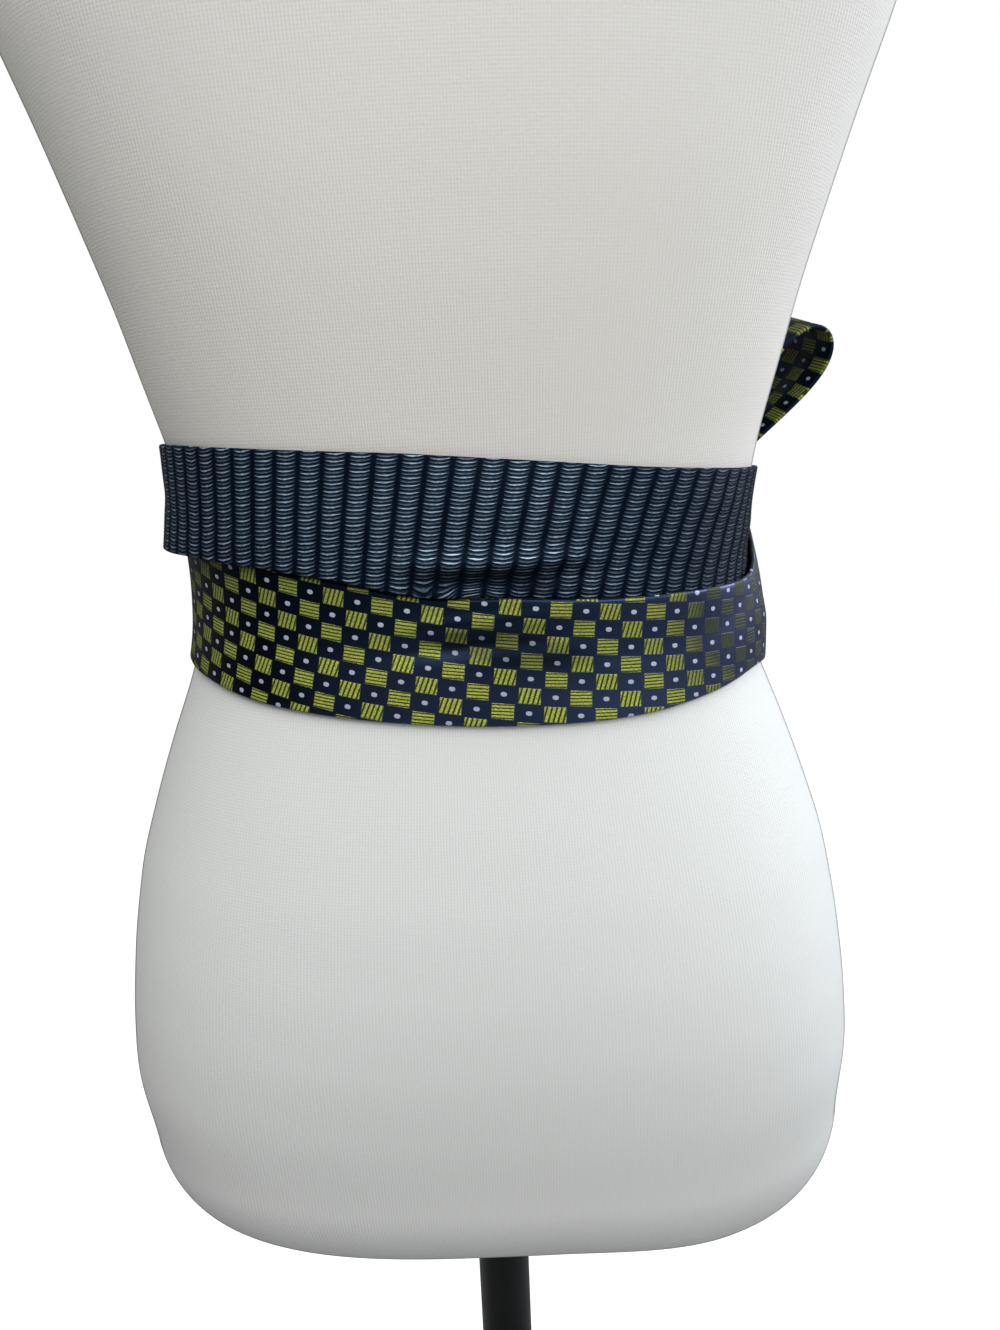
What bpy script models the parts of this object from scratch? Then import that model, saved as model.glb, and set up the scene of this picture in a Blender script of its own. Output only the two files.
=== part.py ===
"""An obi sash of two tie silks, wound round the waist of a limbless dress form and tied in a bow.

Metres, +Z up, the form's back towards -Y, the floor at Z = 0 under the middle of the base.
Heights in the tables are above the sash's lower edge at the middle of the back. Places round
the waist are in degrees: 0 the right side (+X), 90 the back, 180 the left side, 270 the front.
"""

import math

import bmesh
import bpy
from mathutils import Vector

# Driving sizes of the stand and the form
SASH_HEIGHT = 0.600
BASE_RADIUS = 0.185
BASE_THICKNESS = 0.006
BASE_BEVEL = 0.0015
SOCKET_RADIUS = 0.021
SOCKET_HEIGHT = 0.032
POLE_RADIUS = 0.0125
COLLAR_RADIUS = 0.019
COLLAR_HEIGHT = 0.010
FORM_BOTTOM = -0.235
BOTTOM_ROUND = 0.049
SETTLE_FROM = -0.145
SETTLE_SIDEWAYS = 0.0020
SETTLE_DROP = 0.0048
SETTLE_STARTS = 0.020
SETTLE_FULL = 0.095
SEAT_SHARE = 0.25
NECK_CAP_RADIUS = 0.050
NECK_CAP_THICKNESS = 0.006
GAP = 0.0003

# Driving sizes of the cloth
CLOTH = 0.0018
KNOT_AROUND = -40.0
KNOT_HEIGHT = 0.055
KNOT_STANDOFF = 0.0209
KNOT_LENGTH = 0.026
KNOT_DEEP = 0.0150
KNOT_TALL = 0.0175
LOOP_ROOT_GAP = 0.0004
LOOP_ROOT_APART = 0.0036

# How finely the pieces are faceted
FORM_SIDES = 48
ARC_RINGS = 6
BAND_STEPS_ACROSS = 6
LOOP_STEPS = 34
LOOP_STEPS_ACROSS = 4
TAIL_STEPS_ACROSS = 3
KNOT_STATIONS = 8
KNOT_SIDES = 20

# The dress form's sections. The power is 2 for an ellipse and more for a flatter back and front.
FORM_COLUMNS = ("height", "half_width", "front", "back", "power")
FORM_ROWS = (
    (-0.186, 0.1502, 0.1060, 0.1035, 2.87),
    (-0.158, 0.1544, 0.1080, 0.1057, 2.80),
    (-0.128, 0.1524, 0.1085, 0.1068, 2.68),
    (-0.098, 0.1485, 0.1080, 0.1060, 2.55),
    (-0.068, 0.1426, 0.1070, 0.1032, 2.44),
    (-0.038, 0.1322, 0.1035, 0.0980, 2.40),
    (-0.015, 0.1232, 0.0995, 0.0931, 2.40),
    (0.005, 0.1144, 0.0955, 0.0892, 2.40),
    (0.025, 0.1085, 0.0930, 0.0868, 2.40),
    (0.048, 0.1069, 0.0920, 0.0858, 2.40),
    (0.070, 0.1092, 0.0935, 0.0868, 2.40),
    (0.092, 0.1131, 0.0980, 0.0888, 2.40),
    (0.112, 0.1186, 0.1050, 0.0912, 2.40),
    (0.142, 0.1262, 0.1180, 0.0946, 2.40),
    (0.172, 0.1356, 0.1270, 0.0970, 2.40),
    (0.202, 0.1454, 0.1260, 0.0985, 2.40),
    (0.232, 0.1562, 0.1200, 0.0999, 2.40),
    (0.262, 0.1634, 0.1130, 0.1009, 2.40),
    (0.292, 0.1689, 0.1040, 0.1009, 2.40),
    (0.320, 0.1718, 0.0940, 0.0989, 2.40),
    (0.345, 0.1710, 0.0830, 0.0951, 2.40),
    (0.362, 0.1649, 0.0760, 0.0902, 2.39),
    (0.375, 0.1533, 0.0700, 0.0844, 2.29),
    (0.387, 0.1349, 0.0655, 0.0786, 2.20),
    (0.400, 0.1095, 0.0615, 0.0718, 2.11),
    (0.413, 0.0840, 0.0580, 0.0650, 2.01),
    (0.427, 0.0648, 0.0560, 0.0582, 2.00),
    (0.445, 0.0565, 0.0550, 0.0538, 2.00),
    (0.470, 0.0540, 0.0540, 0.0524, 2.00),
)

# The upper turn. Stand-offs are the inner face's distance from the form.
RIBBED_COLUMNS = ("around", "low", "top", "low_off", "middle_off", "top_off")
RIBBED_ROWS = (
    (-39.0, 0.0430, 0.0680, 0.0006, 0.0006, 0.0006),
    (-25.0, 0.0390, 0.0715, 0.0006, 0.0006, 0.0006),
    (0.0, 0.0335, 0.0768, 0.0006, 0.0006, 0.0005),
    (15.0, 0.0335, 0.0787, 0.0006, 0.0006, 0.0005),
    (30.0, 0.0350, 0.0797, 0.0006, 0.0006, 0.0005),
    (45.0, 0.0365, 0.0815, 0.0006, 0.0007, 0.0005),
    (57.0, 0.0380, 0.0832, 0.0006, 0.0008, 0.0006),
    (68.0, 0.0402, 0.0853, 0.0008, 0.0016, 0.0008),
    (76.0, 0.0425, 0.0869, 0.0008, 0.0042, 0.0010),
    (84.0, 0.0433, 0.0884, 0.0010, 0.0056, 0.0010),
    (88.0, 0.0441, 0.0891, 0.0022, 0.0056, 0.0010),
    (95.0, 0.0444, 0.0904, 0.0040, 0.0042, 0.0010),
    (100.0, 0.0456, 0.0913, 0.0038, 0.0034, 0.0009),
    (115.0, 0.0518, 0.0929, 0.0035, 0.0026, 0.0007),
    (130.0, 0.0548, 0.0943, 0.0035, 0.0026, 0.0007),
    (148.0, 0.0568, 0.0953, 0.0058, 0.0034, 0.0007),
    (165.0, 0.0562, 0.0950, 0.0094, 0.0048, 0.0007),
    (180.0, 0.0552, 0.0944, 0.0112, 0.0058, 0.0008),
    (200.0, 0.0525, 0.0930, 0.0090, 0.0048, 0.0010),
    (230.0, 0.0480, 0.0905, 0.0060, 0.0036, 0.0012),
    (270.0, 0.0440, 0.0870, 0.0048, 0.0036, 0.0016),
    (300.0, 0.0425, 0.0790, 0.0040, 0.0037, 0.0028),
    (319.0, 0.0430, 0.0680, 0.0036, 0.0036, 0.0034),
)

# The lower turn
CHECK_COLUMNS = RIBBED_COLUMNS
CHECK_ROWS = (
    (-39.0, 0.0410, 0.0700, 0.0036, 0.0036, 0.0034),
    (-25.0, 0.0270, 0.0690, 0.0038, 0.0042, 0.0036),
    (-10.0, 0.0090, 0.0630, 0.0024, 0.0056, 0.0036),
    (0.0, 0.0015, 0.0560, 0.0014, 0.0062, 0.0036),
    (8.0, 0.0018, 0.0478, 0.0010, 0.0060, 0.0036),
    (14.0, 0.0032, 0.0426, 0.0008, 0.0054, 0.0036),
    (20.0, 0.0048, 0.0402, 0.0007, 0.0046, 0.0036),
    (27.0, 0.0055, 0.0396, 0.0006, 0.0038, 0.0036),
    (35.0, 0.0043, 0.0397, 0.0006, 0.0032, 0.0035),
    (45.0, 0.0026, 0.0402, 0.0006, 0.0028, 0.0034),
    (58.0, 0.0002, 0.0408, 0.0006, 0.0025, 0.0034),
    (69.0, -0.0003, 0.0417, 0.0006, 0.0024, 0.0035),
    (76.0, -0.0002, 0.0428, 0.0006, 0.0024, 0.0036),
    (84.0, 0.0001, 0.0436, 0.0006, 0.0023, 0.0034),
    (88.0, 0.0004, 0.0436, 0.0006, 0.0022, 0.0028),
    (95.0, 0.0012, 0.0439, 0.0006, 0.0021, 0.0018),
    (100.0, 0.0020, 0.0450, 0.0006, 0.0021, 0.0014),
    (115.0, 0.0046, 0.0510, 0.0006, 0.0018, 0.0012),
    (130.0, 0.0074, 0.0545, 0.0006, 0.0014, 0.0012),
    (148.0, 0.0119, 0.0570, 0.0007, 0.0013, 0.0013),
    (163.0, 0.0137, 0.0576, 0.0008, 0.0015, 0.0014),
    (180.0, 0.0130, 0.0572, 0.0007, 0.0016, 0.0014),
    (220.0, 0.0090, 0.0545, 0.0006, 0.0012, 0.0010),
    (270.0, 0.0060, 0.0530, 0.0006, 0.0008, 0.0008),
    (300.0, 0.0200, 0.0600, 0.0006, 0.0008, 0.0008),
    (319.0, 0.0410, 0.0680, 0.0006, 0.0006, 0.0006),
)
BAND_STEP = 5.0
CRUMPLE_STEP = 2.5
CRUMPLE_FROM = 60.0
CRUMPLE_TO = 110.0

# Shallow trough pressed along the lower turn under the crumple
TROUGH_DEPTH = 0.0014
TROUGH_AT = 0.66
TROUGH_BREADTH = 0.16
TROUGH_MIDDLE = 92.0
TROUGH_REACH = 34.0

# The bow's loops: each runs from the knot to its end fold
LOOP_COLUMNS = ("name", "sideways", "outward", "up", "reach", "root", "breadth", "open", "turn")
LOOP_ROWS = (
    ("check_loop", 0.0268, 0.025, 0.0492, 0.0990, 0.0240, 0.0470, 0.0120, 31.5),
    ("ribbed_loop", -0.062, -0.009, -0.020, 0.0880, 0.0240, 0.0430, 0.0095, 0.0),
)

# The tails, from under the knot down over the hip to the point
TAIL_COLUMNS = ("name", "step", "around", "height", "off", "breadth")
TAIL_ROWS = (
    ("check_tail", 0, -36.0, 0.0400, 0.0080, 0.0120),
    ("check_tail", 1, -34.5, 0.0200, 0.0110, 0.0220),
    ("check_tail", 2, -33.0, -0.0050, 0.0104, 0.0340),
    ("check_tail", 3, -31.0, -0.0350, 0.0044, 0.0420),
    ("check_tail", 4, -31.0, -0.0750, 0.0008, 0.0460),
    ("check_tail", 5, -31.5, -0.1060, 0.0008, 0.0480),
    ("check_tail", 6, -32.0, -0.1320, 0.0012, 0.0030),
    ("ribbed_tail", 0, -45.0, 0.0400, 0.0080, 0.0120),
    ("ribbed_tail", 1, -48.0, 0.0200, 0.0110, 0.0200),
    ("ribbed_tail", 2, -52.0, -0.0050, 0.0104, 0.0320),
    ("ribbed_tail", 3, -55.0, -0.0350, 0.0044, 0.0400),
    ("ribbed_tail", 4, -57.0, -0.0700, 0.0008, 0.0430),
    ("ribbed_tail", 5, -58.0, -0.0960, 0.0008, 0.0440),
    ("ribbed_tail", 6, -58.5, -0.1200, 0.0012, 0.0030),
)
TAIL_STATIONS = 5

# Colours from the photo: linear red, green, blue, then roughness and metallic
FINISH_COLUMNS = ("name", "red", "green", "blue", "rough", "metal")
FINISH_ROWS = (
    ("ribbed_silk", 0.020, 0.028, 0.050, 0.50, 0.0),
    ("check_silk", 0.070, 0.085, 0.050, 0.42, 0.0),
    ("form_jersey", 0.720, 0.700, 0.650, 0.85, 0.0),
    ("cap_board", 0.600, 0.580, 0.540, 0.70, 0.0),
    ("stand_black", 0.012, 0.012, 0.013, 0.38, 0.6),
)


def named(columns, rows):
    """The rows as dictionaries under the columns' names."""
    return [dict(zip(columns, row)) for row in rows]


def curve_through(rows, key, column):
    """A smooth function through a table's column that never overshoots it (Fritsch and Carlson)."""
    at = [row[key] for row in rows]
    value = [row[column] for row in rows]
    count = len(at)
    slope = [(value[i + 1] - value[i]) / (at[i + 1] - at[i]) for i in range(count - 1)]
    tangent = [slope[0]]
    for i in range(1, count - 1):
        same_way = slope[i - 1] * slope[i] > 0
        tangent.append(2 * slope[i - 1] * slope[i] / (slope[i - 1] + slope[i]) if same_way else 0.0)
    tangent.append(slope[-1])

    def read(place):
        place = min(max(place, at[0]), at[-1])
        i = max(j for j in range(count - 1) if at[j] <= place)
        span = at[i + 1] - at[i]
        t = (place - at[i]) / span
        start = value[i] * (1 + 2 * t) * (1 - t) ** 2 + tangent[i] * span * t * (1 - t) ** 2
        end = value[i + 1] * t * t * (3 - 2 * t) + tangent[i + 1] * span * t * t * (t - 1)
        return start + end

    return read


FORM_TABLE = named(FORM_COLUMNS, FORM_ROWS)
FORM_SIZE = {name: curve_through(FORM_TABLE, "height", name) for name in FORM_COLUMNS[1:]}


def form_point(around, height):
    """The form's surface there, and its outward direction, level."""
    angle = math.radians(around)
    wide = FORM_SIZE["half_width"](height)
    deep = FORM_SIZE["back"](height) if math.sin(angle) > 0 else FORM_SIZE["front"](height)
    power = FORM_SIZE["power"](height)
    across = abs(math.cos(angle))
    along = (1 - across**power) ** (1 / power)
    point = Vector(
        (
            math.copysign(across * wide, math.cos(angle)),
            -math.copysign(along * deep, math.sin(angle)),
            SASH_HEIGHT + height,
        )
    )
    out = Vector(
        (
            math.copysign(across ** (power - 1) / wide, math.cos(angle)),
            -math.copysign(along ** (power - 1) / deep, math.sin(angle)),
            0,
        )
    )
    return point, out.normalized()


def finish(name):
    """The named material."""
    row = next(row for row in named(FINISH_COLUMNS, FINISH_ROWS) if row["name"] == name)
    material = bpy.data.materials.get(name) or bpy.data.materials.new(name)
    material.use_nodes = True
    shader = material.node_tree.nodes["Principled BSDF"]
    shader.inputs["Base Color"].default_value = (row["red"], row["green"], row["blue"], 1)
    shader.inputs["Roughness"].default_value = row["rough"]
    shader.inputs["Metallic"].default_value = row["metal"]
    return material


def add_object(name, mesh_edit, material_name, sharp_degrees=40):
    """The bmesh as a named object with outward faces, smooth shading and its material."""
    bmesh.ops.recalc_face_normals(mesh_edit, faces=mesh_edit.faces)
    mesh = bpy.data.meshes.new(name)
    mesh_edit.to_mesh(mesh)
    mesh_edit.free()
    mesh.shade_smooth()
    mesh.set_sharp_from_angle(angle=math.radians(sharp_degrees))
    mesh.materials.append(finish(material_name))
    obj = bpy.data.objects.new(name, mesh)
    bpy.context.scene.collection.objects.link(obj)
    return obj


def loft(rings):
    """A closed solid through rings of equally many points, both ends filled."""
    work = bmesh.new()
    loops = [[work.verts.new(point) for point in ring] for ring in rings]
    for ring, after in zip(loops, loops[1:]):
        for i in range(len(ring)):
            j = (i + 1) % len(ring)
            work.faces.new((ring[i], ring[j], after[j], after[i]))
    work.faces.new(loops[0])
    work.faces.new(loops[-1])
    return work


def turned(name, radius, height, base, bevel, material_name):
    """An upright round piece with its top edge bevelled."""
    work = bmesh.new()
    bmesh.ops.create_cone(work, cap_ends=True, segments=FORM_SIDES, radius1=radius, radius2=radius, depth=height)
    bmesh.ops.translate(work, vec=(0, 0, base + height / 2), verts=work.verts)
    top = [edge for edge in work.edges if all(v.co.z > base + height - bevel for v in edge.verts)]
    bmesh.ops.bevel(
        work, geom=top, offset=bevel, segments=2, profile=0.5, affect="EDGES", material=-1
    )
    return add_object(name, work, material_name)


def form_ring(height, inset=0.0):
    """One level section of the form, drawn in by inset."""
    ring = []
    for side in range(FORM_SIDES):
        point, out = form_point(360 * side / FORM_SIDES, height)
        ring.append(point - out * inset)
    return ring


def eased(share):
    """A share from 0 to 1, kept in that range, with soft ends."""
    share = min(max(share, 0.0), 1.0)
    return share * share * (3 - 2 * share)


def settled(point):
    """The point as the foam has settled: low down it moved to the right and sags on that side."""
    below = eased((SASH_HEIGHT + SETTLE_FROM - point.z) / (SETTLE_FROM - FORM_BOTTOM))
    right = eased((point.x - SETTLE_STARTS) / (SETTLE_FULL - SETTLE_STARTS))
    return point + below * Vector((SETTLE_SIDEWAYS, 0, -SETTLE_DROP * right))


def build_form():
    """The torso: a level seat, a rounded underside, the tabled sections and a flat neck."""
    rings = []
    start = FORM_BOTTOM + BOTTOM_ROUND
    for step in range(ARC_RINGS):
        angle = math.pi / 2 * step / ARC_RINGS
        ring = form_ring(start, BOTTOM_ROUND * (1 - math.sin(angle)))
        drop = BOTTOM_ROUND * math.cos(angle)
        rings.append([point - Vector((0, 0, drop)) for point in ring])
    seat = [Vector((point.x * SEAT_SHARE, point.y * SEAT_SHARE, point.z)) for point in rings[0]]
    rings.insert(0, seat)
    rings += [form_ring(row["height"]) for row in FORM_TABLE]
    rings = [[settled(point) for point in ring] for ring in rings]
    add_object("form_body", loft(rings), "form_jersey", 60)
    top = SASH_HEIGHT + FORM_TABLE[-1]["height"]
    turned("form_neck_cap", NECK_CAP_RADIUS, NECK_CAP_THICKNESS, top + GAP, 0.002, "cap_board")


def build_stand():
    """Base plate, socket, pole and the collar under the form, each a gap from the next."""
    form_underside = SASH_HEIGHT + FORM_BOTTOM
    collar_base = form_underside - GAP - COLLAR_HEIGHT
    socket_base = BASE_THICKNESS + GAP
    pole_base = socket_base + SOCKET_HEIGHT + GAP
    pole_height = collar_base - GAP - pole_base
    turned("stand_base", BASE_RADIUS, BASE_THICKNESS, 0, BASE_BEVEL, "stand_black")
    turned("stand_socket", SOCKET_RADIUS, SOCKET_HEIGHT, socket_base, 0.003, "stand_black")
    turned("stand_pole", POLE_RADIUS, pole_height, pole_base, 0.0005, "stand_black")
    turned("pole_collar", COLLAR_RADIUS, COLLAR_HEIGHT, collar_base, 0.001, "stand_black")


def wall_ring(centre_line, outward, thickness):
    """A strip's closed section: its inner face one way, its outer face back."""
    outer = [point + out * thickness for point, out in zip(centre_line, outward)]
    return list(centre_line) + outer[::-1]


def band_stations(first, last):
    """Places round the waist, closer together where the cloth crumples."""
    places = []
    place = first
    while place < last - 0.5 * CRUMPLE_STEP:
        places.append(place)
        crumpled = CRUMPLE_FROM <= place < CRUMPLE_TO
        place += CRUMPLE_STEP if crumpled else BAND_STEP
    places.append(last)
    return places


def trough(around, across):
    """How deep the trough is there, as a share of its depth."""
    along_way = (around - TROUGH_MIDDLE) / TROUGH_REACH
    across_way = (across - TROUGH_AT) / TROUGH_BREADTH
    return math.exp(-along_way**2 - across_way**2)


def build_band(name, columns, rows, material_name, trough_depth):
    """One turn of cloth as a wall round the form."""
    table = named(columns, rows)
    size = {column: curve_through(table, "around", column) for column in columns[1:]}
    rings = []
    for around in band_stations(rows[0][0], rows[-1][0]):
        low, top = size["low"](around), size["top"](around)
        offs = [size[key](around) for key in ("low_off", "middle_off", "top_off")]
        inner, outward = [], []
        for step in range(BAND_STEPS_ACROSS + 1):
            across = step / BAND_STEPS_ACROSS
            point, out = form_point(around, low + (top - low) * across)
            ends = offs[0] * (1 - across) * (1 - 2 * across) + offs[2] * across * (2 * across - 1)
            off = ends + offs[1] * 4 * across * (1 - across)
            off -= trough_depth * trough(around, across)
            inner.append(point + out * off)
            outward.append(out)
        rings.append(wall_ring(inner, outward, CLOTH))
    add_object(name, loft(rings), material_name)


def knot_frame():
    """The knot's middle, the outward direction there and the direction to the right side."""
    point, out = form_point(KNOT_AROUND, KNOT_HEIGHT)
    side = Vector((0, 0, 1)).cross(out) * -1
    return point + out * KNOT_STANDOFF, out, side


def loop_axis(row, out, side):
    """The direction from the knot to a loop's end fold."""
    way = side * row["sideways"] + out * row["outward"] + Vector((0, 0, row["up"]))
    return way.normalized()


def build_knot():
    """The cloth wound over the middle of the bow: a bent barrel that faces each loop squarely."""
    middle, out, side = knot_frame()
    first, second = (loop_axis(row, out, side) for row in named(LOOP_COLUMNS, LOOP_ROWS))
    rings = []
    for step in range(KNOT_STATIONS + 1):
        along = 2 * step / KNOT_STATIONS - 1
        centre = middle + (first if along > 0 else second) * abs(along) * KNOT_LENGTH / 2
        axis = (first * (1 + along) - second * (1 - along)).normalized()
        deep = (out - axis * out.dot(axis)).normalized()
        tall = axis.cross(deep)
        swell = 0.72 + 0.28 * math.sqrt(1 - 0.96 * along**2)
        ring = []
        for corner in range(KNOT_SIDES):
            angle = 2 * math.pi * corner / KNOT_SIDES
            across = deep * math.cos(angle) * KNOT_DEEP + tall * math.sin(angle) * KNOT_TALL
            ring.append(centre + across * swell)
        rings.append(ring)
    add_object("bow_knot", loft(rings), "check_silk")


def build_loop(row, material_name):
    """A bow loop: one strip out from the knot, round its end fold and back."""
    middle, out, side = knot_frame()
    axis = loop_axis(row, out, side)
    broad = axis.cross(out).normalized()
    deep = broad.cross(axis)
    turn = math.radians(row["turn"])
    broad, deep = (
        broad * math.cos(turn) + deep * math.sin(turn),
        deep * math.cos(turn) - broad * math.sin(turn),
    )
    root = KNOT_LENGTH / 2 + LOOP_ROOT_GAP
    rings = []
    path = []
    for step in range(LOOP_STEPS + 1):
        t = step / LOOP_STEPS
        along = root + (row["reach"] - root) * math.sin(math.pi * t)
        height = row["open"] * math.sin(2 * math.pi * t) * math.sin(math.pi * t)
        height += LOOP_ROOT_APART * math.cos(math.pi * t)
        path.append((along, height))
    for step, (along, height) in enumerate(path):
        before = path[max(step - 1, 0)]
        after = path[min(step + 1, LOOP_STEPS)]
        run = Vector((after[0] - before[0], after[1] - before[1])).normalized()
        out_of_loop = axis * run.y * -1 + deep * run.x
        spread = ((along - root) / (row["reach"] - root)) ** 0.6
        breadth = row["root"] + (row["breadth"] - row["root"]) * spread
        inner = []
        for lane in range(LOOP_STEPS_ACROSS + 1):
            across = lane / LOOP_STEPS_ACROSS - 0.5
            inner.append(middle + axis * along + deep * height + broad * breadth * across)
        rings.append(wall_ring(inner, [out_of_loop] * len(inner), CLOTH))
    add_object(row["name"], loft(rings), material_name)


def build_tail(name, material_name):
    """A free end that hangs from the knot over the hip and ends in a tie's point."""
    table = [row for row in named(TAIL_COLUMNS, TAIL_ROWS) if row["name"] == name]
    keys = ("around", "height", "off", "breadth")
    size = {key: curve_through(table, "step", key) for key in keys}
    last = table[-1]["step"]
    rings = []
    for station in range(last * TAIL_STATIONS + 1):
        place = station / TAIL_STATIONS
        around, height, off, breadth = (size[key](place) for key in keys)
        if place > last - 1:
            point_share = last - place
            before, end = table[-2]["breadth"], table[-1]["breadth"]
            breadth = end + (before - end) * point_share
        centre, out = form_point(around, height)
        per_degree = (form_point(around + 1, height)[0] - centre).length
        inner, outward = [], []
        for lane in range(TAIL_STEPS_ACROSS + 1):
            across = lane / TAIL_STEPS_ACROSS - 0.5
            point, out = form_point(around + across * breadth / per_degree, height)
            inner.append(point + out * off)
            outward.append(out)
        rings.append(wall_ring(inner, outward, CLOTH))
    add_object(name, loft(rings), material_name)


def main():
    for obj in list(bpy.data.objects):
        bpy.data.objects.remove(obj, do_unlink=True)
    build_stand()
    build_form()
    build_band("ribbed_wrap", RIBBED_COLUMNS, RIBBED_ROWS, "ribbed_silk", 0.0)
    build_band("check_wrap", CHECK_COLUMNS, CHECK_ROWS, "check_silk", TROUGH_DEPTH)
    build_knot()
    loops = named(LOOP_COLUMNS, LOOP_ROWS)
    build_loop(loops[0], "check_silk")
    build_loop(loops[1], "ribbed_silk")
    build_tail("check_tail", "check_silk")
    build_tail("ribbed_tail", "ribbed_silk")


main()
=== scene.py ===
import math

import bmesh
import bpy
import numpy as np
from mathutils import Matrix, Vector


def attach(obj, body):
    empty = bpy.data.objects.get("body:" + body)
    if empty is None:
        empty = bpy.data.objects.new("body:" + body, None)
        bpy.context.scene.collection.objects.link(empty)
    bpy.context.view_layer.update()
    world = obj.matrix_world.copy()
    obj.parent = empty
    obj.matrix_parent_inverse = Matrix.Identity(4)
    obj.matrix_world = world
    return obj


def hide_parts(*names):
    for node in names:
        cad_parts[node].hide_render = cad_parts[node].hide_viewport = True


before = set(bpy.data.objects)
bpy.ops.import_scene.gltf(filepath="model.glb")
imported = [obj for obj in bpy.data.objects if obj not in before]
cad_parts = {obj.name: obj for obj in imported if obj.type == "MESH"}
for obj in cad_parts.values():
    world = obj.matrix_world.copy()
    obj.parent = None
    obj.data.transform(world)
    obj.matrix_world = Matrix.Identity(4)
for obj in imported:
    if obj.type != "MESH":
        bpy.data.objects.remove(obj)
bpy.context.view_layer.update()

# The view: a hand-held camera close behind the waist, looking down at it. It is a little to the
# right of the form's middle and leans slightly over.
SASH_HEIGHT = 0.600
CAMERA_BACK = 0.410
CAMERA_RIGHT = 0.010
CAMERA_ABOVE_SASH = 0.107
CAMERA_DOWN = 15.0
CAMERA_LEAN = 2.3
CAMERA_LENS = 27.07

view_camera = bpy.data.cameras.new("view")
view_camera.sensor_width = 36.0
view_camera.lens = CAMERA_LENS
view_camera.clip_start = 0.02
view = bpy.data.objects.new("view", view_camera)
bpy.context.scene.collection.objects.link(view)
view.matrix_world = (
    Matrix.Translation((CAMERA_RIGHT, -CAMERA_BACK, SASH_HEIGHT + CAMERA_ABOVE_SASH))
    @ Matrix.Rotation(math.radians(90 - CAMERA_DOWN), 4, "X")
    @ Matrix.Rotation(math.radians(-CAMERA_LEAN), 4, "Z")
)
bpy.context.scene.camera = view

# The dress form: a limbless foam torso under one tight layer of ivory cotton jersey, which has
# fine upright wales. Its sections are flatter at the back than an ellipse. Heights are above the
# sash's lower edge, and places round it in degrees: 0 the right side, 90 the back, 180 the left.
FORM_COLUMNS = ("height", "half_width", "front", "back", "power")
FORM_ROWS = (
    (-0.186, 0.1502, 0.1060, 0.1035, 2.87),
    (-0.158, 0.1544, 0.1080, 0.1057, 2.80),
    (-0.128, 0.1524, 0.1085, 0.1068, 2.68),
    (-0.098, 0.1485, 0.1080, 0.1060, 2.55),
    (-0.068, 0.1426, 0.1070, 0.1032, 2.44),
    (-0.038, 0.1322, 0.1035, 0.0980, 2.40),
    (-0.015, 0.1232, 0.0995, 0.0931, 2.40),
    (0.005, 0.1144, 0.0955, 0.0892, 2.40),
    (0.025, 0.1085, 0.0930, 0.0868, 2.40),
    (0.048, 0.1069, 0.0920, 0.0858, 2.40),
    (0.070, 0.1092, 0.0935, 0.0868, 2.40),
    (0.092, 0.1131, 0.0980, 0.0888, 2.40),
    (0.112, 0.1186, 0.1050, 0.0912, 2.40),
    (0.142, 0.1262, 0.1180, 0.0946, 2.40),
    (0.172, 0.1356, 0.1270, 0.0970, 2.40),
    (0.202, 0.1454, 0.1260, 0.0985, 2.40),
    (0.232, 0.1562, 0.1200, 0.0999, 2.40),
    (0.262, 0.1634, 0.1130, 0.1009, 2.40),
    (0.292, 0.1689, 0.1040, 0.1009, 2.40),
    (0.320, 0.1718, 0.0940, 0.0989, 2.40),
    (0.345, 0.1710, 0.0830, 0.0951, 2.40),
    (0.362, 0.1649, 0.0760, 0.0902, 2.39),
    (0.375, 0.1533, 0.0700, 0.0844, 2.29),
    (0.387, 0.1349, 0.0655, 0.0786, 2.20),
    (0.400, 0.1095, 0.0615, 0.0718, 2.11),
    (0.413, 0.0840, 0.0580, 0.0650, 2.01),
    (0.427, 0.0648, 0.0560, 0.0582, 2.00),
    (0.445, 0.0565, 0.0550, 0.0538, 2.00),
    (0.470, 0.0540, 0.0540, 0.0524, 2.00),
)
FORM_BLUR = 0.007
FORM_BOTTOM = -0.235
BOTTOM_ROUND = 0.049
SETTLE_FROM = -0.145
SETTLE_SIDEWAYS = 0.0020
SETTLE_DROP = 0.0048
SETTLE_STARTS = 0.020
SETTLE_FULL = 0.095
SEAT_SHARE = 0.25
FORM_SIDES = 192
FORM_RINGS = 220
ROUND_RINGS = 24
JERSEY_WALES = 620
COURSE_PITCH = 0.0011
# The jersey's colours: its two clouds, then the painted light and shade that each height blends in,
# from where and up to where: lighter at the top, cooler lower down, darker at the bottom
JERSEY_CLOUDS = ((0.705, 0.688, 0.640), (0.750, 0.742, 0.705))
JERSEY_LIGHT_BY_HEIGHT = (
    (0.73, 0.86, (0.770, 0.765, 0.735)),
    (0.70, 0.58, (0.730, 0.765, 0.760)),
    (0.52, 0.40, (0.600, 0.620, 0.620)),
)
# Painted shade in the knit's hollows between its threads
SHADE_BETWEEN_THREADS = (0.640, 0.620, 0.570)
# Painted shade at the outline, where the jersey turns away from the view: where it starts and is
# full, its share and its colour
RIM_FROM = 0.87
RIM_FULL = 0.95
RIM_SHARE = 0.75
RIM_SHADE = (0.100, 0.105, 0.105)


def column_of(columns, rows, column):
    """One column of a table, as a list."""
    return [dict(zip(columns, row))[column] for row in rows]


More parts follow.
